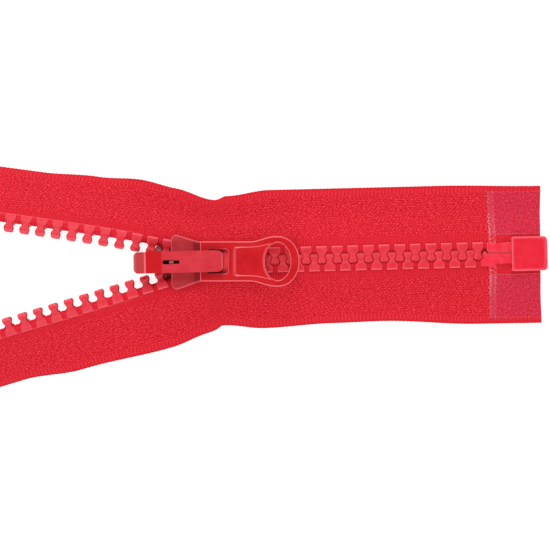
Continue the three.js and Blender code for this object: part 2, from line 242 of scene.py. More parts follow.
def weld_marks(look, along, flat):
    """The whitened, dotted lines across the tape where the end of the film is welded on."""
    ragged = look.scaled(look.noise(flat, 1.3, 3.0), 0.9, -0.45)
    near_end = look.math("ADD", along, ragged)
    weld = look.band(near_end, FILM_FROM - 0.3, 0.1, 0.2)
    second = look.times(look.band(near_end, FILM_FROM - 1.5, 0.06, 0.2), 0.7)
    strip = look.times(look.band(near_end, FILM_FROM - 0.9, 0.5, 0.3), 0.3)
    lines = look.math("MAXIMUM", look.math("MAXIMUM", weld, second), strip)
    return look.times(lines, dots(look, flat))


def fabric_material():
    """Woven polyester: slanting stitches in a herringbone, ribs beside the teeth, a corded edge."""
    look = Look("tape_fabric")
    along, across, flat = look.flat_place()
    wander = look.noise(flat, 0.9, 2.0)
    along_bent = look.scaled(wander, 1.1, along)
    across_bent = look.scaled(wander, -0.7, across)
    folded = look.math("PINGPONG", across_bent, CHEVRON)
    slant = look.scaled(folded, 0.9, along_bent)
    stitch = look.times(look.wave(slant, WALE), look.wave(across_bent, COURSE))
    yarn_place = look.pair(
        look.math("DIVIDE", slant, YARN_LENGTH), look.math("DIVIDE", across_bent, YARN_WIDTH)
    )
    yarn = look.ramp(look.noise(yarn_place, 1.0, 2.0), 0.3, 0.7)
    woven = look.scaled(stitch, 0.4, look.times(yarn, 0.75))

    ribs = look.scaled(look.wave(along_bent, 0.5), 0.25, 0.35)
    near_teeth = look.opposite(look.ramp(across, RIBBED_TO - 0.6, RIBBED_TO))
    loops = look.scaled(look.wave(along, LOOP), 0.22, 0.42)
    outer = look.band(across, FLAT_WIDTH - 0.75 * SELVAGE, 0.25 * SELVAGE, 0.2)
    rim = look.ramp(across, FLAT_WIDTH - 0.5 * SELVAGE, FLAT_WIDTH - 0.4 * SELVAGE)
    height = look.blend(outer, look.blend(near_teeth, woven, ribs), loops)
    height = look.blend(rim, height, 0.45)
    fibre = look.noise(flat, 2.1, 4.0, 0.75)
    height = look.scaled(fibre, 0.5, height)

    opened = look.ramp(along, *OPENED)
    # A painted highlight: a pale line along the cord's edge where the rows stand open.
    line = look.times(look.band(across, BEAD_EDGE, 0.06, 0.14), opened)
    bead = look.opposite(look.ramp(across, BEAD_EDGE - 0.25, BEAD_EDGE + 0.15))
    # The weave is coloured by its height: painted shade in its hollows and a painted highlight on its
    # raised stitches, over the bump below.
    colour = look.mix(look.ramp(height, 0.45, 1.25), YARN_DARK, YARN_LIGHT)
    cloud = look.noise(flat, 0.12, 2.0)
    colour = look.mix(look.times(cloud, 0.3), colour, YARN_CLOUD)
    # Painted light on the cord between the teeth where the rows stand open, and painted shade on it in
    # the closed chain.
    in_legs = look.times(bead, look.times(opened, 0.4))
    in_chain = look.times(bead, look.scaled(opened, -0.2, 0.2))
    colour = look.mix(in_legs, colour, CORD_PAINTED_LIGHT)
    colour = look.mix(in_chain, colour, CORD_PAINTED_SHADE)
    colour = look.mix(look.times(line, 0.3), colour, CORD_PAINTED_HIGHLIGHT)
    inside_film = look.opposite(look.ramp(across, FILM_INNER - 0.1, FILM_INNER + 0.1))
    welded = look.times(weld_marks(look, along, flat), inside_film)
    colour = look.mix(look.times(welded, 0.8), colour, WELD_ON_TAPE)
    look.set(Base_Color=colour, Roughness=0.8, Specular_IOR_Level=0.1)
    look.set(Sheen_Weight=0.05, Sheen_Roughness=0.5)
    look.bump(height, 0.08, 0.6)
    return look.material


def plastic_material(name, colour, deep, light, roughness, marked=False, panel=None):
    """Moulded acetal: slightly milky, with faint flow marks and a painted highlight on its edges.
    A marked mesh says where its painted highlight goes with its own "rim" attribute, which is below 0
    where painted shade goes instead; other meshes get the highlight on the sloping faces of rounded
    edges.
    Outside a panel (from x, to x, half y) the plastic is a shade paler."""
    look = Look(name)
    place = look.place()
    flow = look.noise(place, 700, 4.0)
    body = look.mix(look.ramp(flow, 0.3, 0.75), deep, colour)
    if panel:
        x, y, _ = look.split(place)
        middle, half = (panel[0] + panel[1]) / 2 * MM, (panel[1] - panel[0]) / 2 * MM
        soft = 0.25 * MM
        inside = look.times(
            look.band(x, middle, half, soft), look.band(y, 0.0, panel[2] * MM, soft)
        )
        body = look.mix(look.opposite(inside), body, PALE_BORDER)
    if marked:
        rim = look.node("ShaderNodeAttribute", attribute_name="rim").outputs["Fac"]
        # Painted shade in TOOTH_SHADE where rim is below 0.
        body = look.mix(look.times(rim, -1.0), body, TOOTH_SHADE)
    else:
        rim = look.slopes()
    # The light colour is a painted highlight where rim is above 0.
    look.set(
        Base_Color=look.mix(look.times(rim, 0.85), body, light),
        Roughness=look.scaled(flow, 0.2, roughness - 0.1),
        Specular_IOR_Level=0.35,
        Coat_Weight=0.05,
        Coat_Roughness=0.25,
    )
    look.bump(look.noise(place, 2600, 3.0), 0.012, 0.6)
    return look.material


def enamel_material(name, colour, deep, light, roughness=0.28, bands=(), bands_over_highlights=(), spots=()):
    """Baked enamel on a die casting, with a painted highlight in the light colour on the sloping faces of
    its rounded edges.
    Bands, laid under that highlight, and a second list of bands, laid over it, are (from x, to x,
    colour).
    Spots of brightened bare metal, painted shade and painted light are (x, y, z, radius, colour)."""
    look = Look(name)
    place = look.place()
    x = look.split(place)[0]
    pooled = look.noise(place, 400, 3.0)
    ragged = look.noise(place, 1800, 4.0)

    def banded(base, stripes, soft):
        for start, end, tint in stripes:
            middle, half = (start + end) / 2 * MM, (end - start) / 2 * MM
            base = look.mix(look.band(x, middle, half, soft * MM), base, tint)
        return base

    base = banded(look.mix(look.ramp(pooled, 0.3, 0.7), deep, colour), bands, 0.25)
    # A painted highlight in the light colour on the sloping faces of rounded edges.
    base = look.mix(look.times(look.slopes(), 0.85), base, light)
    base = banded(base, bands_over_highlights, 0.1)
    for *spot, radius, tint in spots:
        ends = {0: place, 1: Vector(spot) * MM}
        away = look.node("ShaderNodeVectorMath", ends, operation="DISTANCE")
        reach = look.scaled(ragged, 0.5 * radius * MM, away.outputs["Value"])
        inside = look.opposite(look.ramp(reach, 0.8 * radius * MM, 1.3 * radius * MM))
        base = look.mix(inside, base, tint)
    look.set(
        Base_Color=base,
        Roughness=look.scaled(pooled, 0.14, roughness - 0.05),
        Specular_IOR_Level=0.3,
        Coat_Weight=0.06,
        Coat_Roughness=0.12,
    )
    look.bump(look.noise(place, 700, 3.0), 0.015, 0.5)
    return look.material


def film_material():
    """Clear film welded on the weave: rosy, a little glossy, whitened along its edges."""
    look = Look("film")
    along, across, flat = look.flat_place()
    press = look.noise(flat, 2.4, 3.0)
    edges = (FILM_INNER + 0.15, FILM_OUTER - 0.15)
    sides = look.math("MAXIMUM", *(look.band(across, edge, 0.06, 0.15) for edge in edges))
    sides = look.times(sides, look.times(dots(look, flat), 0.35))
    stronger_inside = look.opposite(look.times(look.ramp(across, 6, 12), 0.6))
    lines = look.math("MAXIMUM", weld_marks(look, along, flat), sides)
    white = look.times(lines, stronger_inside)
    rosy = look.mix(look.ramp(press, 0.32, 0.68), FILM_DARK, FILM_LIGHT)
    look.set(
        Base_Color=look.mix(white, rosy, FILM_WHITE),
        Roughness=look.scaled(press, 0.3, 0.45),
        Specular_IOR_Level=0.25,
        Alpha=look.scaled(white, 0.4, 0.36),
    )
    look.bump(press, 0.05, 0.6)
    return look.material


PAWL_BRIGHT_FROM = 8.0  # height, below which the steel is painted dark as shade


def steel_material():
    """Spring steel, painted near black as shade below the pawl's raised end, and a brighter pinkish grey
    on that end.
    """
    look = Look("spring_steel")
    place = look.place()
    grain = look.noise(place, 1500, 3.0)
    raised = look.ramp(look.split(place)[2], PAWL_BRIGHT_FROM * MM, (PAWL_BRIGHT_FROM + 0.4) * MM)
    # Below the raised end the steel is painted dark, as painted shade.
    dark = look.mix(grain, srgb(30, 8, 12), srgb(56, 22, 28))
    bright = look.mix(grain, srgb(176, 98, 108), srgb(214, 146, 152))
    look.set(
        Base_Color=look.mix(raised, dark, bright),
        Roughness=look.scaled(grain, 0.2, 0.35),
        Metallic=0.5,
    )
    look.bump(grain, 0.01, 0.5)
    return look.material


# ---- Mesh helpers ----

def stand_in(piece, body, node):
    """The piece rides on a body in place of a CAD node."""
    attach(piece, body)
    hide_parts(node)


def make_object(name, points, faces, material, uvs=None, rim=None):
    """A closed mesh object from points in millimetres. uvs holds one pair for each point,
    and rim one number."""
    mesh = bpy.data.meshes.new(name)
    mesh.from_pydata((np.asarray(points) * MM).tolist(), [], faces)
    if uvs is not None:
        layer = mesh.uv_layers.new(name="flat")
        corner = np.zeros(len(mesh.loops), np.int32)
        mesh.loops.foreach_get("vertex_index", corner)
        layer.data.foreach_set("uv", np.asarray(uvs, np.float32)[corner].ravel())
    if rim is not None:
        mesh.attributes.new("rim", "FLOAT", "POINT").data.foreach_set("value", np.float32(rim))
    edit = bmesh.new()
    edit.from_mesh(mesh)
    bmesh.ops.recalc_face_normals(edit, faces=edit.faces)
    edit.to_mesh(mesh)
    edit.free()
    mesh.materials.append(material)
    return add_object(name, mesh)


def smooth_by_angle(obj, degrees):
    """Smooth shading, with sharp edges where two faces meet at a greater angle."""
    obj.data.shade_smooth()
    obj.data.set_sharp_from_angle(angle=math.radians(degrees))


def apply_modifiers(obj):
    """The object's mesh becomes what its modifiers make of it."""
    graph = bpy.context.evaluated_depsgraph_get()
    graph.update()
    mesh = bpy.data.meshes.new_from_object(obj.evaluated_get(graph))
    obj.modifiers.clear()
    old, obj.data = obj.data, mesh
    bpy.data.meshes.remove(old)


def loft(name, rings, material):
    """A closed solid through rings of points, each ring with as many points as the next."""
    count = len(rings[0])
    faces = ring_faces(len(rings), count, 0)
    return make_object(name, np.concatenate(rings), faces, material)


def ring_faces(rings, count, first):
    """Faces of a closed solid through rings of count points, numbered from first."""
    i, k = np.meshgrid(np.arange(rings - 1), np.arange(count), indexing="ij")
    a = first + i * count + k
    b = first + i * count + (k + 1) % count
    sides = np.stack([a, b, b + count, a + count], -1).reshape(-1, 4).tolist()
    end = first + (rings - 1) * count
    return sides + [list(range(first, first + count))[::-1], list(range(end, end + count))]


def ring_at(outline, height):
    """A level outline as a ring of points."""
    return np.column_stack([outline, np.full(len(outline), height)])


def tapered(name, low_outline, high_outline, low, high, material):
    """A solid between two outlines of as many points, at heights low and high."""
    return loft(name, [ring_at(low_outline, low), ring_at(high_outline, high)], material)


def slab(name, outline, low, high, material):
    """An upright solid on one outline, from height low to height high."""
    return tapered(name, outline, outline, low, high, material)


def offset_outline(outline, distance):
    """The outline moved outwards by a distance, or inwards where it is below 0."""
    points = np.asarray(outline, float)
    along = np.roll(points, -1, axis=0) - points
    out = np.stack([along[:, 1], -along[:, 0]], -1)
    out /= np.linalg.norm(out, axis=1, keepdims=True)
    area = np.sum(points[:, 0] * np.roll(points[:, 1], -1) - points[:, 1] * np.roll(points[:, 0], -1))
    both = (out + np.roll(out, 1, axis=0)) * np.sign(area)
    return points + both * distance / np.maximum(0.5, np.sum(both * both, axis=1, keepdims=True) / 2)


RIM_STEPS = 4
PAST_FACE = 1  # how far a hole's tool stands out of the slab


def rimmed(name, outline, heights, rims, material, hole=False):
    """A slab whose lower and upper rims are rounded to the radii in rims.
    A hole is the tool that cuts such a rim round an opening, and reaches past both faces."""
    low, high = heights
    side = 1 if hole else -1
    quarter = [k / RIM_STEPS * math.pi / 2 for k in range(RIM_STEPS + 1)]
    levels = [(low + rims[0] * (1 - math.cos(a)), rims[0] * (1 - math.sin(a))) for a in quarter]
    upper = [(high - rims[1] * (1 - math.cos(a)), rims[1] * (1 - math.sin(a))) for a in quarter]
    levels = levels if rims[0] else [(low, 0)]
    levels += upper[::-1] if rims[1] else [(high, 0)]
    if hole:
        levels = [(low - PAST_FACE, rims[0])] + levels + [(high + PAST_FACE, rims[1])]
    rings = [ring_at(offset_outline(outline, side * inset), level) for level, inset in levels]
    return loft(name, rings, material)


def side_slab(name, outline, half, material):
    """A solid whose outline is drawn in x and z, from -half to half in y."""
    rings = [np.array([(x, y, z) for x, z in outline]) for y in (-half, half)]
    return loft(name, rings, material)


def combine(operation, base, *tools):
    """Joins or cuts base with the tools, which are used up."""
    for tool in tools:
        modifier = base.modifiers.new("boolean", "BOOLEAN")
        modifier.operation = operation
        modifier.solver = "EXACT"
        modifier.object = tool
        apply_modifiers(base)
        bpy.data.objects.remove(tool)
    return base


def join(base, *tools):
    return combine("UNION", base, *tools)


def cut(base, *tools):
    return combine("DIFFERENCE", base, *tools)


SHARP_ANGLE = 24  # degrees
BEVEL_ANGLE = 32


def finish_surface(obj):
    """Smooth shading that leaves flat faces flat."""
    smooth_by_angle(obj, SHARP_ANGLE)
    weighted = obj.modifiers.new("normals", "WEIGHTED_NORMAL")
    weighted.keep_sharp = True
    apply_modifiers(obj)


def round_edges(obj, width, segments=4):
    """Rounds the edges where two faces meet at more than BEVEL_ANGLE."""
    bevel = obj.modifiers.new("bevel", "BEVEL")
    bevel.width = width * MM
    bevel.segments = segments
    bevel.limit_method = "ANGLE"
    bevel.angle_limit = math.radians(BEVEL_ANGLE)
    apply_modifiers(obj)
    finish_surface(obj)


def rounded(points, radius, steps=5):
    """A closed outline with its corners rounded off. radius is one number, or one for each point."""
    out = []
    count = len(points)
    radii = radius if hasattr(radius, "__len__") else [radius] * count
    for i, point in enumerate(points):
        corner = Vector(point)
        before = Vector(points[i - 1]) - corner
        after = Vector(points[(i + 1) % count]) - corner
        trim = min(radii[i], before.length * 0.48, after.length * 0.48)
        start = corner + before.normalized() * trim
        end = corner + after.normalized() * trim
        for k in range(steps + 1):
            t = k / steps
            out.append(tuple(start * (1 - t) ** 2 + corner * 2 * t * (1 - t) + end * t**2))
    return out


def mirrored(half):
    """A symmetric outline from the points of its +Y half."""
    return half + [(x, -y) for x, y in reversed(half)]


def rectangle(x0, x1, half):
    """An outline from x0 to x1, and half wide on either side of the x axis."""
    return [(x0, -half), (x1, -half), (x1, half), (x0, half)]


def ellipse(x, rx, ry, count=48):
    """An outline round (x, 0) with half axes rx and ry."""
    turns = np.linspace(0, 2 * math.pi, count, endpoint=False)
    return [(x + rx * math.cos(t), ry * math.sin(t)) for t in turns]


def bezier(start, control_a, control_b, end, steps):
    """Points on a curve, without its first."""
    points = np.array([start, control_a, control_b, end])
    out = []
    for k in range(1, steps + 1):
        t = k / steps
        weights = np.array([(1 - t) ** 3, 3 * t * (1 - t) ** 2, 3 * t * t * (1 - t), t**3])
        out.append(tuple(weights @ points))
    return out


# ---- The two rows, as in the CAD ----

# Places along a row are counted from the box.
PITCH = 3.63
TEETH = 39
CHAIN_Z = 2.5  # height of the closed chain's middle
ROW_END = 153  # of the teeth
TAIL_END = 167  # of the tapes, past the top stops
BOTTOM_END = -2.6  # of the tapes, inside the box
BEND = 8  # length over which a row turns away from the chain
LIFT_FROM = 86  # the open rows rise from here on
OPEN_Z = 7.6  # height that they rise to
OPEN_ROLL = 28  # degrees that they roll over
EDGE_Z = 0.3  # height of a tape's outer edge
FILM_EDGE_Z = 0.8  # and where it has films
FALL_FROM = 10  # it starts to come down from the one to the other here
FALL_LENGTH = 8
TAPE_INNER = 3.2  # a tape leaves its row's plane this far from the row's axis
TAPE_HALF = 0.28  # half its thickness
FLAT_FROM = 0.6  # share of its width after which a closed tape is level
SPLIT = 45  # where one piece of tape or teeth ends and the next begins
SKEW_LENGTH = 8  # over which the tapes' cut ends run askew


def smooth(t):
    """0 below 0, 1 above 1, smooth between."""
    t = np.clip(t, 0, 1)
    return t * t * (3 - 2 * t)


def along_pairs(pairs, s):
    """Value at s of a smooth line through (position, value) pairs."""
    value = np.full_like(s, pairs[0][1], dtype=float)
    for (s0, v0), (s1, v1) in zip(pairs, pairs[1:]):
        value = np.where(s >= s0, v0 + (v1 - v0) * smooth((s - s0) / (s1 - s0)), value)
    return value


@dataclass
class Row:
    """The line that one side's teeth follow: straight along the chain, then away at an angle."""

    name: str
    side: int  # 1 towards +Y, -1 towards -Y
    first_tooth: float
    apex: float  # the middle of the bend
    angle: float  # degrees by which the row turns away there
    straighten: float  # degrees by which it turns back towards its end
    lift_to: float  # the open row has risen here
    end_skew: float  # slope of the tape's cut end
    widths: list  # places along the row, each with the tape's width there, seen from above

    STEP = 0.05
    START = -5

    def __post_init__(self):
        self.stations = np.arange(self.START, TAIL_END + 2, self.STEP)
        heading = self.heading(self.stations + self.STEP / 2)
        steps_x = -np.cos(heading) * self.STEP
        steps_y = np.sin(heading) * self.STEP * self.side
        self.x = -self.START + np.concatenate([[0], np.cumsum(steps_x)[:-1]])
        self.y = np.concatenate([[0], np.cumsum(steps_y)[:-1]])

    def heading(self, s):
        """The angle by which the row has turned away at s, in radians."""
        turned = smooth((s - self.apex + BEND / 2) / BEND) * self.angle
        past = np.maximum(0, (s - self.apex - BEND / 2) / (ROW_END - self.apex))
        return np.radians(turned - past * self.straighten)

    def axes(self, s):
        """For an array of places: origin, back, level, out, up, lift and roll."""
        s = np.atleast_1d(np.asarray(s, float))
        x = np.interp(s, self.stations, self.x)
        y = np.interp(s, self.stations, self.y)
        lift = smooth((s - LIFT_FROM) / (self.lift_to - LIFT_FROM))
        heading = self.heading(s)
        roll = np.radians(OPEN_ROLL) * lift
        zero = np.zeros_like(s)
        z = np.stack([zero, zero, zero + 1], -1)
        level = np.stack([np.sin(heading), self.side * np.cos(heading), zero], -1)
        back = np.stack([-np.cos(heading), self.side * np.sin(heading), zero], -1)
        origin = np.stack([x, y, CHAIN_Z + (OPEN_Z - CHAIN_Z) * lift], -1)
        out = level * np.cos(roll)[:, None] - z * np.sin(roll)[:, None]
        up = level * np.sin(roll)[:, None] + z * np.cos(roll)[:, None]
        return origin, back, level, out, up, lift, roll

    def axes_at(self, s):
        """The same for one place."""
        return [values[0] for values in self.axes(s)]

    def surface(self, s, offset):
        """The tape's mid-surface: offset is the distance from the row's axis on the flat tape.
        Returns points shaped (len(s), len(offset), 3)."""
        s, offset = np.asarray(s, float), np.asarray(offset, float)
        origin, back, level, out, _, lift, roll = self.axes(s)
        points = origin[:, None] + out[:, None] * np.minimum(offset, TAPE_INNER)[None, :, None]
        inner = TAPE_INNER * np.cos(roll)
        widths = along_pairs(self.widths, s)
        share = np.maximum(0, (offset - TAPE_INNER) / (FLAT_WIDTH - TAPE_INNER))[None, :]
        reach = (widths - inner)[:, None] * share
        inner_z = origin[:, 2] - TAPE_INNER * np.sin(roll)
        edge_z = FILM_EDGE_Z + (EDGE_Z - FILM_EDGE_Z) * smooth((s - FALL_FROM) / FALL_LENGTH)
        drop = (edge_z - inner_z)[:, None]
        flat, rolled = drop * smooth(share / FLAT_FROM), drop * share
        points = points + level[:, None] * reach[..., None]
        points[..., 2] += flat + (rolled - flat) * lift[:, None]
        skewed = self.end_skew * (1 - smooth((s - BOTTOM_END) / SKEW_LENGTH))
        return points - back[:, None] * (skewed[:, None] * offset[None, :])[..., None]


ROWS = (
    Row(
        "upper",
        side=1,
        first_tooth=11.85,
        apex=72.9, angle=12.5, straighten=6.5, lift_to=108, end_skew=0.05,
        widths=[
            (-3, 16), (20, 16.6), (60, 16.6), (70, 15.4), (77, 14.1),
            (85, 15.2), (93, 15.8), (103, 14.8), (116, 13.9), (170, 14),
        ],
    ),
    Row(
        "lower",
        side=-1,
        first_tooth=13.65,
        apex=74.3, angle=15.6, straighten=0, lift_to=128, end_skew=0.02,
        widths=[
            (-3, 16.4), (12, 16.3), (34, 15.1), (46, 15.3), (62, 16.1), (71, 15.2),
            (80, 16.1), (88, 16.85), (110, 15.6), (124, 13.9), (170, 13.6),
        ],
    ),
)


# ---- Tapes ----

BEAD_RADIUS = 0.92  # of the cord in a tape's inner edge
BEAD_OFFSET = 2.06  # from the row's axis to the cord's
BEAD_TURN = 0.86 * math.pi  # how far the section goes round the cord before the web starts
WEB_SWELL = 0.2  # extra half thickness of the tape beside the bead
WEB_SWELL_WIDTH = 1.5
GRID_STEP = 0.26  # between a tape's points


def normals_of(grid):
    """Unit normals of a grid of points, pointing up."""
    normal = np.cross(np.gradient(grid, axis=0), np.gradient(grid, axis=1))
    normal *= np.sign(normal[..., 2:3].mean())
    return normal / np.linalg.norm(normal, axis=-1, keepdims=True)


def weave_relief(s, offset):
    """Height of the stitches' ribs over the flat tape."""
    folded = np.abs((offset / CHEVRON + 1) % 2 - 1) * CHEVRON
    ribs = 0.03 * np.sin((s + 0.9 * folded) * 2 * math.pi / WALE)
    in_selvage = smooth((offset - FLAT_WIDTH + SELVAGE) / 0.5)
    loops = 0.04 * (np.abs(np.sin(s * math.pi / LOOP)) - 0.4)
    on_bead = smooth((BEAD_OFFSET + BEAD_RADIUS + 0.3 - offset) / 0.3)
    turns = 0.05 * np.sin(s * 2 * math.pi / 0.9)
    relief = ribs * (1 - in_selvage) + loops * in_selvage
    return relief * (1 - on_bead) + turns * on_bead


def sheet_solid(name, top, bottom, s, offset, material):
    """A thin closed solid between two grids of points, with the flat map on both."""
    rings = np.concatenate([top, bottom[:, ::-1]], axis=1)
    around = np.concatenate([offset, offset[::-1]])
    s_grid, around_grid = np.meshgrid(s, around, indexing="ij")
    uvs = np.stack([s_grid.ravel() + FLAT_SHIFT, around_grid.ravel()], -1) * FLAT_MAP
    width, count = len(around), len(s)
    faces = ring_faces(count, width, 0)[:-2]
    for base in (0, (count - 1) * width):
        for k in range(len(offset) - 1):
            faces.append([base + k, base + width - 1 - k, base + width - 2 - k, base + k + 1])
    made = make_object(name, rings.reshape(-1, 3), faces, material, uvs)
    smooth_by_angle(made, 50)
    return made


def tape_solid(row, name, s_from, s_to, material):
    """A row's tape from s_from to s_to, as one woven solid with its cord."""
    s = np.linspace(s_from, s_to, int((s_to - s_from) / GRID_STEP) + 1)
    turn = np.linspace(0, BEAD_TURN, 9)
    bead = BEAD_OFFSET - np.cos(turn) * BEAD_RADIUS
    web = np.arange(bead[-1] + 0.2, FLAT_WIDTH + 0.01, GRID_STEP)
    offset = np.concatenate([bead, web])
    web_half = TAPE_HALF + WEB_SWELL * (1 - smooth((offset - bead[-1]) / WEB_SWELL_WIDTH))
    half = np.concatenate([np.sin(turn) * BEAD_RADIUS, web_half[len(bead):]])
    half[len(bead) - 2:len(bead)] = np.maximum(half, web_half)[len(bead) - 2:len(bead)]
    half = np.maximum(half, 0.04)
    half[-2:] = 0.22, 0.1  # rounds off the outer edge
    grid = row.surface(s, offset)
    normal = normals_of(grid)
    level = row.axes(s)[2]
    s_grid, offset_grid = np.meshgrid(s, offset, indexing="ij")
    outermost = smooth((offset_grid - FLAT_WIDTH + SELVAGE) / SELVAGE) ** 2
    scallop = outermost * np.abs(np.sin(s_grid * math.pi / LOOP)) * 0.1
    grid = grid + level[:, None] * scallop[..., None]
    relief = weave_relief(s_grid, offset_grid)
    relief[:, 0] = 0
    top = grid + normal * (half[None, :] + relief)[..., None]
    bottom = grid - normal * (half[None, :] + np.roll(relief, 3, axis=0))[..., None]
    bottom[..., 2] = np.maximum(bottom[..., 2], 0.01)  # stays on the floor
    return sheet_solid(name, top, bottom, s, offset, material)


def hinge_blend(piece):
    """Bakes the piece's placement into its mesh."""
    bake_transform(piece)


def build_tapes():
    """Each side's tape, in two pieces that meet at SPLIT."""
    material = fabric_material()
    tapes = {}
    for row in ROWS:
        for which, s_from, s_to in (("bottom", BOTTOM_END, SPLIT), ("top", SPLIT, TAIL_END)):
            tape = tape_solid(row, f"{row.name}_tape_{which}", s_from, s_to, material)
            hinge_blend(tape)
            end_node = "end" if which == "bottom" else "leg"
            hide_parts(f"{row.name}_tape_{end_node}", f"{row.name}_tape_mid")
            tapes[row.name, which] = tape
    return tapes


# ---- Teeth ----

# Half the width, and half the thickness, of a tooth at distances from its row's axis.
TOOTH_WIDTH = [
    (-1.22, 0.3), (-1.15, 0.52), (-1.02, 0.73), (-0.85, 0.88), (-0.65, 0.96), (-0.45, 0.95),
    (-0.28, 0.88), (-0.12, 0.78), (0.05, 0.69), (0.25, 0.63), (0.45, 0.61), (0.75, 0.62),
    (0.95, 0.7), (1.15, 0.86), (1.4, 1.08), (1.65, 1.22), (2.0, 1.25), (2.6, 1.28),
    (2.72, 1.28), (2.84, 1.26), (2.92, 1.16), (2.93, 0.96),
]
TOOTH_THICKNESS = [
    (-1.22, 0.2), (-1.15, 0.45), (-1.02, 0.75), (-0.85, 0.97), (-0.7, 1.05), (-0.4, 1.14),
    (-0.1, 1.08), (0.3, 0.98), (0.8, 1.02), (1.2, 1.18), (2.5, 1.2), (2.6, 1.2),
    (2.85, 1.04), (2.92, 0.94), (2.93, 0.74),
]
TOOTH_EDGE = 0.2  # radius of its rounded edges
RIB_LEVELS = (0.78, 0.7, 0.06, 0.0)  # of the locking rib round the head, over the row's plane
RIB_GAP = 0.05  # from the rib to the other row's tooth; one row's ribs pass over the other row's
RIM_FROM = 2.6  # where the painted highlight on the tooth's outer edge starts
TIP_FROM = -0.8  # and the painted highlight on its tip
# Strengths of the painted highlight on the outer edge and the tip, and of the painted shade on the
# locking ribs
RIM_MARK = 0.8
TIP_MARK = 0.5
RIB_MARK = -0.2
EDGE_MARKS = [0, 0.1, 0.4, 0.4, 0.1]  # painted highlight on the rounded edges, from the face to the side


def tooth_shape():
    """One tooth's rings of points (along, offset, height), and how much painted highlight, above 0, or
    painted shade, below 0, each point gets.
    """
    offsets, widths = np.array(TOOTH_WIDTH).T
    halves = np.interp(offsets, *np.array(TOOTH_THICKNESS).T)
    facing = np.interp(-offsets, offsets, widths)
    ribs = np.maximum(0, PITCH / 2 - widths - facing - RIB_GAP)
    ribs[offsets > -offsets[0]] = 0
    rings, marks = [], []
    for offset, width, half, rib in zip(offsets, widths, halves, ribs):
        edge = min(TOOTH_EDGE, width * 0.5, half * 0.5)
        at_ends = RIM_MARK * smooth((offset - RIM_FROM) / 0.12)
        at_ends += TIP_MARK * smooth((TIP_FROM - offset) / 0.2)
        at_ends *= offset < offsets[-1]
        quarter = [(width * 0.4, half)]
        for degrees in (90, 60, 30, 0):
            angle = math.radians(degrees)
            inset = edge * (1 - math.cos(angle))
            quarter.append((width - inset, half - edge * (1 - math.sin(angle))))
        levels = np.array(RIB_LEVELS) * min(1, half)
        rib_points = list(zip((width, width + rib, width + rib, width), levels))
        right = quarter + rib_points + [(x, -z) for x, z in reversed(quarter)]
        ring = right + [(-x, z) for x, z in reversed(right)]
        rings.append(np.array([(x, offset, z) for x, z in ring]))
        right_marks = EDGE_MARKS + [RIB_MARK] * len(rib_points) + EDGE_MARKS[::-1]
        marks.append(np.clip(np.array(right_marks * 2) + at_ends, -1, 1))
    return rings, np.concatenate(marks)


def build_teeth():
    """Single teeth along each row, in one piece below the split and one above it."""
    material = plastic_material(
        "tooth_plastic", srgb(228, 40, 60), srgb(214, 28, 46), srgb(248, 100, 114), 0.5, marked=True
    )
    shape, marks = tooth_shape()
    stretches = (("bottom", 0, SPLIT), ("top", SPLIT, ROW_END))
    for row in ROWS:
        for which, s_from, s_to in stretches:
            points, faces = [], []
            for k in range(TEETH):
                s = row.first_tooth + k * PITCH
                if not s_from < s < s_to:
                    continue
                origin, back, _, out, up, _, _ = row.axes_at(s)
                first = sum(len(p) for p in points)
                faces += ring_faces(len(shape), len(shape[0]), first)
                for ring in shape:
                    along, offset, height = (ring[:, i, None] for i in range(3))
                    points.append(origin + back * along + out * offset + up * height * row.side)
            name = f"{row.name}_teeth_{which}"
            rim = np.tile(marks, len(points) // len(shape))
            teeth = make_object(name, np.concatenate(points), faces, material, rim=rim)
            smooth_by_angle(teeth, 45)
            hinge_blend(teeth)
            nodes = [f"{row.name}_teeth_mid"]
            if which == "top":
                nodes.append(f"{row.name}_teeth_leg")
            elif row.name == "upper":
                nodes.append("upper_teeth_end")
            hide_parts(*nodes)


# ---- Slider, crown, lock and pull ----

SLIDER_X = -75
BOTTOM_PLATE = (0, 1.1)  # heights, as are the next three
LOWER_LIPS = (1.0, 1.9)
UPPER_LIPS = (3.1, 4.0)
TOP_PLATE = (3.9, 5.1)
CROWN_HALF = 2.47  # of its width
CROWN_TOP = 9.3
CROWN_UNDER = 7.95  # height of the arch from inside
CROWN_FOOT = 5.4
CROWN_FLAT_FROM = -10.1  # the crown's front lies before it, painted darker than the flat behind, which carries a painted reflection
LEAF = (7.5, 7.7)
# Bare metal, made near white so that it stays bright in the shade where it shows: partly painted light.
BARE_METAL_AND_PAINTED_LIGHT = srgb(255, 214, 216)
DEEP_SHADE = srgb(26, 4, 8)


def on_slider(outline):
    """An outline drawn round the slider's own middle, where the slider is."""
    return [(x + SLIDER_X, y) for x, y in outline]


def plate(front):
    """The outline of one of the slider's plates, which are alike but for their front ends."""
    rear = [(-1.4, 4.6), (3, 4.1), (7.8, 3.95)]
    return on_slider(rounded(mirrored(front + rear), 1.3))


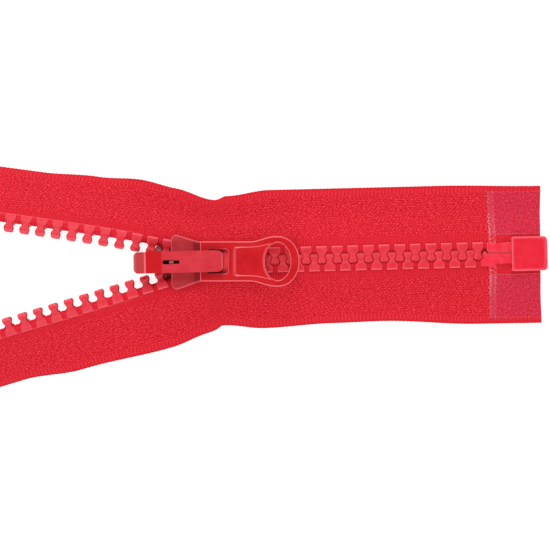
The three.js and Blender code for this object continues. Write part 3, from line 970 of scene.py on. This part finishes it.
def build_slider():
    """Two plates with lips along their sides, the divider between them and a tongue in front."""
    colours = (srgb(199, 52, 62), srgb(182, 38, 47), srgb(216, 78, 88))
    material = enamel_material(
        "slider_enamel",
        *colours,
        roughness=0.34,
        spots=[
            # Bare metal on the bottom plate's nose, made bright as painted light in the shade between the
            # teeth
            (-86.3, 3.4, 1.2, 1.0, BARE_METAL_AND_PAINTED_LIGHT),
            (-85.3, -3.4, 1.2, 1.0, BARE_METAL_AND_PAINTED_LIGHT),
            (-84.4, 0, TOP_PLATE[1], 1.6, DEEP_SHADE),
            # Painted light on the top plate, seen through the pull's slot, where shade falls
            (-70.4, 0, TOP_PLATE[1], 2.6, srgb(255, 66, 78)),
        ],
        # A painted shadow on the top plate beside the end of the pull
        bands=[(-77.7, -76.2, srgb(158, 24, 34))],
    )
    top_outline = plate([(-8.1, 5.7), (-7, 6.5)])
    channel = [(-14, 7.3), (-8.9, 5.95), (-1.5, 4), (1, 3.35), (9, 3.25)]
    divider = rounded(mirrored([(-12, 0.9), (-11.2, 1.3), (-5.8, 0.25)]), 0.4)
    tongue = rounded(mirrored([(-12.6, 2), (-8, 2)]), 0.6)
    window = rectangle(0.6, 2.3, 0.7)
    name = "slider_body_enamelled"
    body = join(
        rimmed(name, top_outline, TOP_PLATE, (0, 0.42), material),
        slab("tool", on_slider(tongue), *TOP_PLATE, material),
    )
    for heights in (LOWER_LIPS, UPPER_LIPS):
        lips = cut(
            slab("lips", top_outline, *heights, material),
            slab("tool", on_slider(mirrored(channel)), -1, 9, material),
        )
        join(body, lips)
    join(
        body,
        slab("tool", on_slider(divider), LOWER_LIPS[0], UPPER_LIPS[1], material),
        slab("tool", plate([(-12.2, 3.6), (-8, 6.45)]), *BOTTOM_PLATE, material),
    )
    cut(body, slab("tool", on_slider(window), 3, 6, material))
    round_edges(body, 0.14, 2)
    stand_in(body, "slider", "slider_body")


def build_crown():
    """An arch over the pull's cross bar, with the pawl's slot."""
    flat_from = SLIDER_X + CROWN_FLAT_FROM
    # The crown's colours are paler than its enamel, as a painted reflection of the lights on its long
    # flat; the first band keeps the short flat before it to darker enamel, and the band laid over the
    # highlights paints the sloping front darker still, as painted shade.
    colours = (srgb(209, 52, 63), srgb(199, 45, 56), srgb(238, 98, 106))
    material = enamel_material(
        "crown_enamel",
        *colours,
        bands=[(flat_from - 3.4, flat_from, srgb(194, 16, 26))],
        bands_over_highlights=[(flat_from - 9, flat_from - 4.0, srgb(186, 14, 28))],
    )
    foot, under, top = CROWN_FOOT, CROWN_UNDER, CROWN_TOP
    side = [(-16.85, 5), (-16.3, 6.3), (-13.7, top), (4, top), (4, foot)]
    side += [(2.6, foot), (2.6, under), (-9.7, under), (-11, foot), (-15, foot)]
    side = rounded(side, [0.3, 0.6, 0.2, 0.35, 0.2, 0.2, 0.6, 0.6, 0.3, 0.3])
    crown = side_slab("slider_crown_enamelled", on_slider(side), CROWN_HALF, material)
    plan = rounded(
        mirrored([(-16.95, 1.5), (-16.1, CROWN_HALF + 0.01), (4.05, CROWN_HALF + 0.01)]),
        [0.5, 0.5, 1.5, 1.5, 0.5, 0.5],
    )
    combine("INTERSECT", crown, slab("tool", on_slider(plan), 3, 11, material))
    slot = rounded(rectangle(-9.8, -5.9, 0.48), 0.4)
    cut(crown, slab("tool", on_slider(slot), 7, 10, material))
    round_edges(crown, 0.28)
    stand_in(crown, "slider", "slider_crown")


def build_lock():
    """The pawl as it is, and the leaf spring forked round it, so that the pawl can rise."""
    material = steel_material()
    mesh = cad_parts["lock_pawl"].data
    mesh.materials.clear()
    mesh.materials.append(material)
    outline = rounded(rectangle(-5.2, 2.55, 0.8), 0.2)
    gap = rectangle(-5.4, 1.9, 0.38)
    leaf = slab("lock_spring_leaf", on_slider(outline), *LEAF, material)
    cut(leaf, slab("tool", on_slider(gap), 7, 8, material))
    round_edges(leaf, 0.05, 2)
    stand_in(leaf, "slider", "lock_spring")


PULL_HEIGHTS = (5.4, 6.75)
PULL_STEM = 4.62  # half its width near the crown
PULL_HEAD = 5.83  # and round the window
PULL_END = 21.65  # from the slider's middle
PULL_PIVOT = -0.55
PULL_WINDOW = (16.6, 2.95, 4.35)  # centre and half axes
PULL_SKEW = -1.4  # degrees by which the loose pull lies askew
RECESS_DEPTH = 0.2


def build_pull():
    """A tab with the crown's slot, a recessed panel and a window with a raised ring."""
    colours = (srgb(203, 24, 34), srgb(190, 16, 26), srgb(248, 110, 116))
    material = enamel_material("pull_enamel", *colours)
    stem, head, far = PULL_STEM, PULL_HEAD, PULL_END
    upper = [(-1.3, stem), (10, stem)]
    upper += bezier((10, stem), (12.5, stem), (13.5, head), (16.6, head), 10)
    upper += bezier((16.6, head), (19.4, head), (far, 3.4), (far, 0), 12)
    outline = upper + [(x, -y) for x, y in reversed(upper[:-1])]
    slot = rounded(rectangle(0.2, 5.2, 2.8), 0.8)
    window_x, rx, ry = PULL_WINDOW
    top = PULL_HEIGHTS[1]
    floor_outline = mirrored([(7.0, 3.1), (10.6, 3.2), (12.8, 3.45), (14.8, 4.0), (16.6, 4.4)])
    edge_outline = mirrored([(6.3, 3.4), (10.6, 3.4), (12.8, 3.65), (14.8, 4.2), (16.6, 4.6)])
    radii = [0.8, 1, 1, 1, 0.1]
    radii = radii + radii[::-1]
    recess = tapered(
        "recess",
        on_slider(rounded(floor_outline, radii)),
        on_slider(rounded(edge_outline, radii)),
        top - RECESS_DEPTH,
        top + 0.001,
        material,
    )
    ring_foot, ring_crest = (
        on_slider(ellipse(window_x, rx + width, ry + width)) for width in (0.5, 0.32)
    )
    cut(recess, tapered("tool", ring_foot, ring_crest, top - RECESS_DEPTH - 0.01, top + 0.01, material))
    pull = rimmed("pull_tab_enamelled", on_slider(outline), PULL_HEIGHTS, (0.3, 0.34), material)
    window = on_slider(ellipse(window_x, rx, ry))
    cut(
        pull,
        rimmed("tool", on_slider(slot), PULL_HEIGHTS, (0.2, 0.24), material, hole=True),
        rimmed("tool", window, PULL_HEIGHTS, (0.25, 0.28), material, hole=True),
        recess,
    )
    finish_surface(pull)
    pivot = np.array([SLIDER_X + PULL_PIVOT, 0, 0])
    skew = math.radians(PULL_SKEW)
    cosine, sine = math.cos(skew), math.sin(skew)
    turn = np.array([[cosine, sine, 0], [-sine, cosine, 0], [0, 0, 1]])
    for vertex in pull.data.vertices:
        vertex.co = Vector(((np.array(vertex.co) / MM - pivot) @ turn + pivot) * MM)
    stand_in(pull, "pull", "pull_tab")


# ---- Box, pins and stops ----

BOX_HALF = 4.15  # of its length
BOX_SIDE = 3.98  # half its width
BOX_HEIGHT = 4.9
BOX_WALL = 0.85
BOX_RECESS = 0.12
SOCKET_RIGHT = 2.9  # the pins' socket ends here
TAPE_SLOTS = (1.9, 3.1)  # heights
PIN_HEIGHTS = (1.35, 3.65)
LEDGE_HEIGHTS = (1.14, 1.32)  # of the box pin's ledge, which runs under the insertion pin
STOP_HALF = 1.6  # of its thickness
STOP_PAST_TEETH = 2.5
MOULDED = (srgb(232, 36, 58), srgb(222, 30, 50), srgb(255, 98, 114))


def build_box():
    """The box with its recessed panel, the pins' socket and slots for the tapes."""
    material = plastic_material("box_plastic", *MOULDED, 0.32, panel=(-3.45, 3.2, 3.3))
    half, side = BOX_HALF, BOX_SIDE
    outline = rounded(rectangle(-half, half, side), [0.3, 1.1, 1.1, 0.3])
    box = rimmed("retainer_box_moulded", outline, (0, BOX_HEIGHT), (0.2, 0.35), material)

    def face(inset):
        return rounded(rectangle(inset - half, half - inset - 0.25, side - inset), 0.5)

    recess = tapered("tool", face(0.6), face(0.55), BOX_HEIGHT - BOX_RECESS, BOX_HEIGHT + 0.001, material)
    socket = rectangle(-5, SOCKET_RIGHT, 3.15)
    tape_slots = rectangle(-5, SOCKET_RIGHT, 5)
    cut(
        box,
        recess,
        slab("tool", socket, BOX_WALL, BOX_HEIGHT - BOX_WALL, material),
        slab("tool", tape_slots, *TAPE_SLOTS, material),
    )
    round_edges(box, 0.06, 2)
    stand_in(box, "base", "retainer_box")


def build_pins():
    """The insertion pin, and the box pin with its ledge and the root that joins the two."""
    material = plastic_material("pin_plastic", PALE_BORDER, MOULDED[0], MOULDED[2], 0.34)
    insertion = [(-9.75, 2.85), (-9.75, 0.7), (-9.2, 0.45), (2.6, 0.2), (2.6, 2.75)]
    insertion += [(-4.2, 2.85), (-6.9, 2.45), (-8.6, 2.6)]
    held = [(-11.25, -2.75), (-11.25, -1.3), (-10.7, -0.9), (-10.7, 0.5), (-10.1, 0.95)]
    held += [(-9.85, 0.35), (2.6, 0.12), (2.6, -2.2), (-7.9, -2.2), (-8.1, -2.75)]
    ledge = [(-11.1, -1.2), (-11.1, 1.1), (-9.9, 1.3), (2.6, 0.8), (2.6, -1.2)]
    root = [(-10.4, -1.2), (-10.4, -0.1), (2.6, -0.1), (2.6, -1.2)]
    for node, outline, radius in (("insertion_pin", insertion, 0.3), ("box_pin", held, 0.25)):
        pin = slab(f"{node}_moulded", rounded(outline, radius), *PIN_HEIGHTS, material)
        if node == "box_pin":
            join(
                pin,
                slab("tool", rounded(ledge, 0.2), *LEDGE_HEIGHTS, material),
                slab("tool", root, LEDGE_HEIGHTS[0], PIN_HEIGHTS[0] + 0.1, material),
            )
        round_edges(pin, 0.12)
        stand_in(pin, "base", node)


def build_stops():
    """A rounded block past the last tooth of each row."""
    material = plastic_material("stop_plastic", *MOULDED, 0.34)
    outline = rounded([(-2.2, 0.4), (2.2, 0.4), (2.2, 3.6), (-2.2, 3.6)], 0.9)
    for row in ROWS:
        stop = slab(f"{row.name}_top_stop_moulded", outline, -STOP_HALF, STOP_HALF, material)
        round_edges(stop, 0.35)
        origin, back, _, out, up, _, _ = row.axes_at(ROW_END + STOP_PAST_TEETH)
        for vertex in stop.data.vertices:
            x, y, z = vertex.co / MM
            vertex.co = Vector(origin - back * row.side * x + out * y + up * z) * MM
        stand_in(stop, f"{row.name}_leg", f"{row.name}_top_stop")


# ---- Reinforcement films ----

RAGGED_FROM = 7  # the film's end is uneven from here on
FILM_HEIGHTS = (0.03, 0.16)  # of its two faces over the tape


def build_films():
    """On the front and the back of each tape, a film that follows the weave under it."""
    material = film_material()
    s = np.linspace(BOTTOM_END, FILM_FROM, 62)
    offset = np.linspace(FILM_INNER, FILM_OUTER, 52)
    s_grid, offset_grid = np.meshgrid(s, offset, indexing="ij")
    ragged = 0.14 * np.sin(offset_grid * 5.1) + 0.12 * np.sin(offset_grid * 11.7 + 1)
    stretch = ragged * smooth((s_grid - RAGGED_FROM) / (FILM_FROM - RAGGED_FROM))
    relief = 0.5 * weave_relief(s_grid, offset_grid)
    near, far = (TAPE_HALF + height for height in FILM_HEIGHTS)
    for row in ROWS:
        grid = row.surface(s, offset)
        normal = normals_of(grid)
        grid = grid + row.axes(s)[1][:, None] * stretch[..., None]
        for face, side in ((1, "front"), (-1, "back")):
            low = grid + normal * (face * (near + relief))[..., None]
            high = grid + normal * (face * (far + relief))[..., None]
            film = sheet_solid(f"{row.name}_film_{side}_welded", high, low, s, offset, material)
            stand_in(film, "base", f"{row.name}_film_{side}")


# ---- Floor and light ----

FLOOR_HALF = 3.0  # metres
FLOOR_GLOW = 0.82
LIGHT_SIZE = 0.3  # metres
LIGHT_AIM = (-0.07, 0, 0)


def build_floor():
    """A plain floor, bright enough to be white all over."""
    corners = [(x, y, 0) for x, y in rectangle(-FLOOR_HALF, FLOOR_HALF, FLOOR_HALF)]
    mesh = bpy.data.meshes.new("floor")
    mesh.from_pydata(corners, [], [(0, 1, 2, 3)])
    look = Look("floor")
    look.set(Base_Color=(0.3, 0.3, 0.3, 1), Roughness=0.9, Specular_IOR_Level=0.0)
    look.set(Emission_Color=(1, 1, 1, 1), Emission_Strength=FLOOR_GLOW)
    mesh.materials.append(look.material)
    floor = add_object("floor", mesh)
    floor.location.z = -0.02 * MM


def area_light(name, place, watts):
    """A square soft box at a place in metres, aimed at the slider's neighbourhood."""
    data = bpy.data.lights.new(name, "AREA")
    data.size = LIGHT_SIZE
    data.energy = watts
    light = add_object(name, data)
    light.location = place
    aim = Vector(LIGHT_AIM) - Vector(place)
    light.rotation_euler = aim.to_track_quat("-Z", "Y").to_euler()
    light.visible_camera = False


def build_light():
    """A sky that is brighter low down, and six soft boxes: two high and one on each side."""
    world = bpy.data.worlds.new("world")
    bpy.context.scene.world = world
    world.use_nodes = True
    tree = world.node_tree
    background = tree.nodes["Background"]
    background.inputs["Color"].default_value = (1, 1, 1, 1)
    direction = tree.nodes.new("ShaderNodeTexCoord").outputs["Generated"]
    parts = tree.nodes.new("ShaderNodeSeparateXYZ")
    fade = tree.nodes.new("ShaderNodeMapRange")
    tree.links.new(direction, parts.inputs[0])
    tree.links.new(parts.outputs[2], fade.inputs["Value"])
    for name, value in (("From Min", 0.22), ("From Max", 0.4), ("To Min", 1.0), ("To Max", 0.28)):
        fade.inputs[name].default_value = value
    tree.links.new(fade.outputs["Result"], background.inputs["Strength"])
    world.cycles_visibility.glossy = False
    area_light("high north", (-0.12, 0.42, 0.7), 1.65)
    area_light("high south", (-0.12, -0.42, 0.7), 1.65)
    area_light("north", (-0.07, 0.55, 0.34), 1.3)
    area_light("south", (-0.07, -0.55, 0.34), 0.9)
    area_light("west", (-0.62, 0.05, 0.36), 0.8)
    area_light("east", (0.48, 0.05, 0.36), 0.6)


tapes = build_tapes()
build_teeth()
build_slider()
build_crown()
build_lock()
build_pull()
build_box()
build_pins()
build_stops()
build_films()
build_floor()
build_light()
